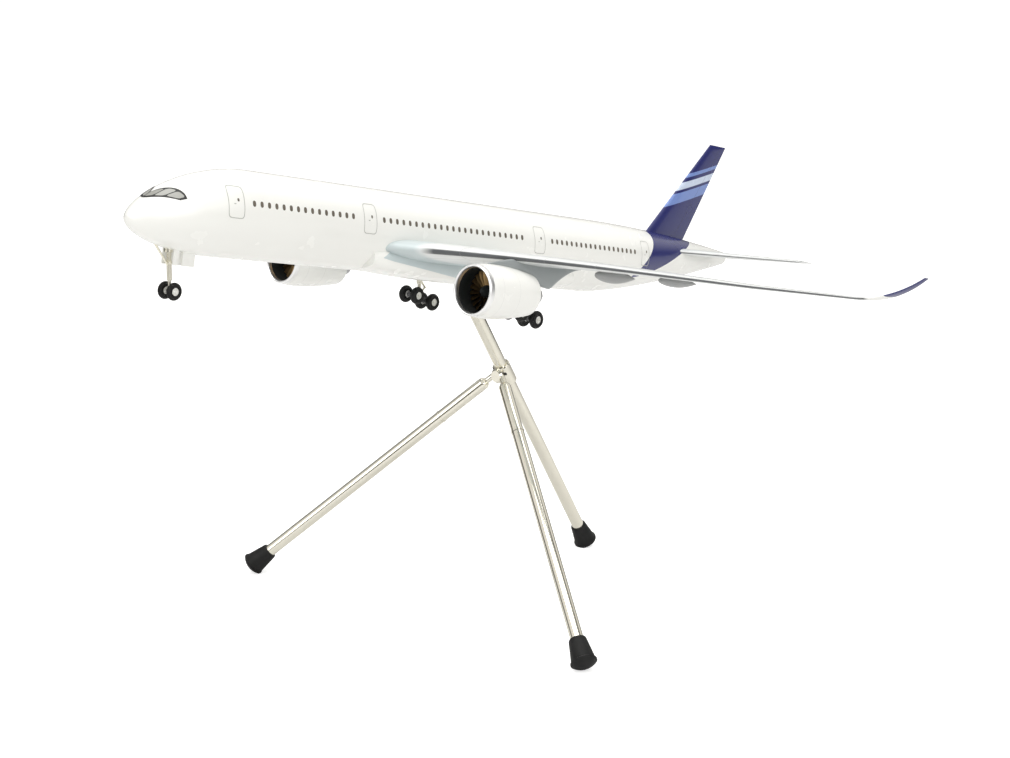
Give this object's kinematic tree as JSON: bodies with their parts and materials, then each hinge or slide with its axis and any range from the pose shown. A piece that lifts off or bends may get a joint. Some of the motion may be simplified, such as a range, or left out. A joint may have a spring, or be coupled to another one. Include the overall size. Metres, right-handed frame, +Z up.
{
  "type": "desktop airliner model",
  "caption": "Desktop model of a long twin-engine airliner with landing gear, held nose-up on a three-legged metal tube stand with rubber feet.",
  "frame": {"origin": "on the table surface, at the centre of the part's footprint box", "axes": "+X forward towards the nose, +Y to port, +Z up"},
  "size_m": [0.6618, 0.648, 0.3606],
  "materials": {
    "tube_nickel": "bright nickel plate, slightly warm",
    "screw_black": "black oxide",
    "foot_rubber": "matte",
    "gloss_white": "gloss lacquer",
    "gloss_navy": "gloss lacquer",
    "wing_grey": "satin lacquer",
    "glazing_dark": "gloss print",
    "lip_polished": "polished",
    "core_metal": "satin",
    "fan_bronze": "satin bronze",
    "gear_nickel": "satin, warm metallic",
    "gear_grey": "satin",
    "hub_white": "gloss",
    "tyre_black": "matte",
    "steel_pin": "as drawn",
    "cast_grey": "as cast"
  },
  "bodies": {
    "stand": {"main_tube": "tube_nickel", "tube_plug": "tube_nickel", "hub_collar": "tube_nickel", "hub_screws": "screw_black", "stub_port": "tube_nickel", "stub_starboard": "tube_nickel", "foot_rear": "foot_rubber"},
    "leg_port": {"leg_tube_port": "tube_nickel", "foot_port": "foot_rubber"},
    "leg_starboard": {"leg_tube_starboard": "tube_nickel", "foot_starboard": "foot_rubber"},
    "airframe": {"fuselage_port_shell": "gloss_white", "fuselage_starboard_shell": "gloss_white", "alignment_pins": "steel_pin", "nose_ballast": "cast_grey", "stand_socket": "core_metal", "belly_fairing": "gloss_white", "cockpit_glazing": "glazing_dark", "wing_port": "wing_grey", "wing_starboard": "wing_grey", "wing_spar": "steel_pin", "flap_fairings_port": "wing_grey", "flap_fairings_starboard": "wing_grey", "fin": "gloss_navy", "tailplane_port": "wing_grey", "tailplane_starboard": "wing_grey", "tail_spar": "steel_pin", "pylon_port": "wing_grey", "nacelle_port": "gloss_white", "intake_lip_port": "lip_polished", "engine_core_port": "core_metal", "pylon_starboard": "wing_grey", "nacelle_starboard": "gloss_white", "intake_lip_starboard": "lip_polished", "engine_core_starboard": "core_metal", "nose_leg": "gear_nickel", "nose_brace": "gear_nickel", "nose_doors": "gloss_white", "main_leg_port": "gear_nickel", "main_stays_port": "gear_nickel", "main_leg_starboard": "gear_nickel", "main_stays_starboard": "gear_nickel"},
    "nose_wheel_pair": {"nose_wheels": "hub_white", "nose_tyres": "tyre_black"},
    "fan_rotor_port": {"fan_port": "fan_bronze"},
    "bogie_beam_port": {"bogie_port": "gear_grey"},
    "front_wheel_pair_port": {"front_wheels_port": "hub_white", "front_tyres_port": "tyre_black"},
    "rear_wheel_pair_port": {"rear_wheels_port": "hub_white", "rear_tyres_port": "tyre_black"},
    "fan_rotor_starboard": {"fan_starboard": "fan_bronze"},
    "bogie_beam_starboard": {"bogie_starboard": "gear_grey"},
    "front_wheel_pair_starboard": {"front_wheels_starboard": "hub_white", "front_tyres_starboard": "tyre_black"},
    "rear_wheel_pair_starboard": {"rear_wheels_starboard": "hub_white", "rear_tyres_starboard": "tyre_black"}
  },
  "joints": [
    {"name": "airframe_lift", "type": "slide", "parent": "stand", "child": "airframe", "axis": [0.5299, 0, 0.848], "range_m": [0, 0.03]},
    {"name": "leg_port_pull", "type": "slide", "parent": "stand", "child": "leg_port", "axis": [0.3957, 0.6669, -0.6314], "range_m": [0, 0.015]},
    {"name": "leg_starboard_pull", "type": "slide", "parent": "stand", "child": "leg_starboard", "axis": [0.4889, -0.6019, -0.6314], "range_m": [0, 0.015]},
    {"name": "nose_wheel_spin", "type": "hinge", "parent": "airframe", "child": "nose_wheel_pair", "pos_m": [0.29993, 0, 0.28385], "axis": [0, 1, 0], "continuous": true},
    {"name": "fan_port_spin", "type": "hinge", "parent": "airframe", "child": "fan_rotor_port", "pos_m": [0.11985, 0.1027, 0.27344], "axis": [0.9828, 0, 0.1848], "continuous": true},
    {"name": "bogie_port_tilt", "type": "hinge", "parent": "airframe", "child": "bogie_beam_port", "pos_m": [0.01455, 0.0564, 0.23497], "axis": [0, 1, 0], "range_deg": [-12, 12]},
    {"name": "front_wheels_port_spin", "type": "hinge", "parent": "bogie_beam_port", "child": "front_wheel_pair_port", "pos_m": [0.02322, 0.0564, 0.23886], "axis": [0, 1, 0], "continuous": true},
    {"name": "rear_wheels_port_spin", "type": "hinge", "parent": "bogie_beam_port", "child": "rear_wheel_pair_port", "pos_m": [0.00588, 0.0564, 0.23108], "axis": [0, 1, 0], "continuous": true},
    {"name": "fan_starboard_spin", "type": "hinge", "parent": "airframe", "child": "fan_rotor_starboard", "pos_m": [0.11985, -0.1027, 0.27344], "axis": [0.9828, 0, 0.1848], "continuous": true},
    {"name": "bogie_starboard_tilt", "type": "hinge", "parent": "airframe", "child": "bogie_beam_starboard", "pos_m": [0.01455, -0.0564, 0.23497], "axis": [0, 1, 0], "range_deg": [-12, 12]},
    {"name": "front_wheels_starboard_spin", "type": "hinge", "parent": "bogie_beam_starboard", "child": "front_wheel_pair_starboard", "pos_m": [0.02322, -0.0564, 0.23886], "axis": [0, 1, 0], "continuous": true},
    {"name": "rear_wheels_starboard_spin", "type": "hinge", "parent": "bogie_beam_starboard", "child": "rear_wheel_pair_starboard", "pos_m": [0.00588, -0.0564, 0.23108], "axis": [0, 1, 0], "continuous": true}
  ]
}
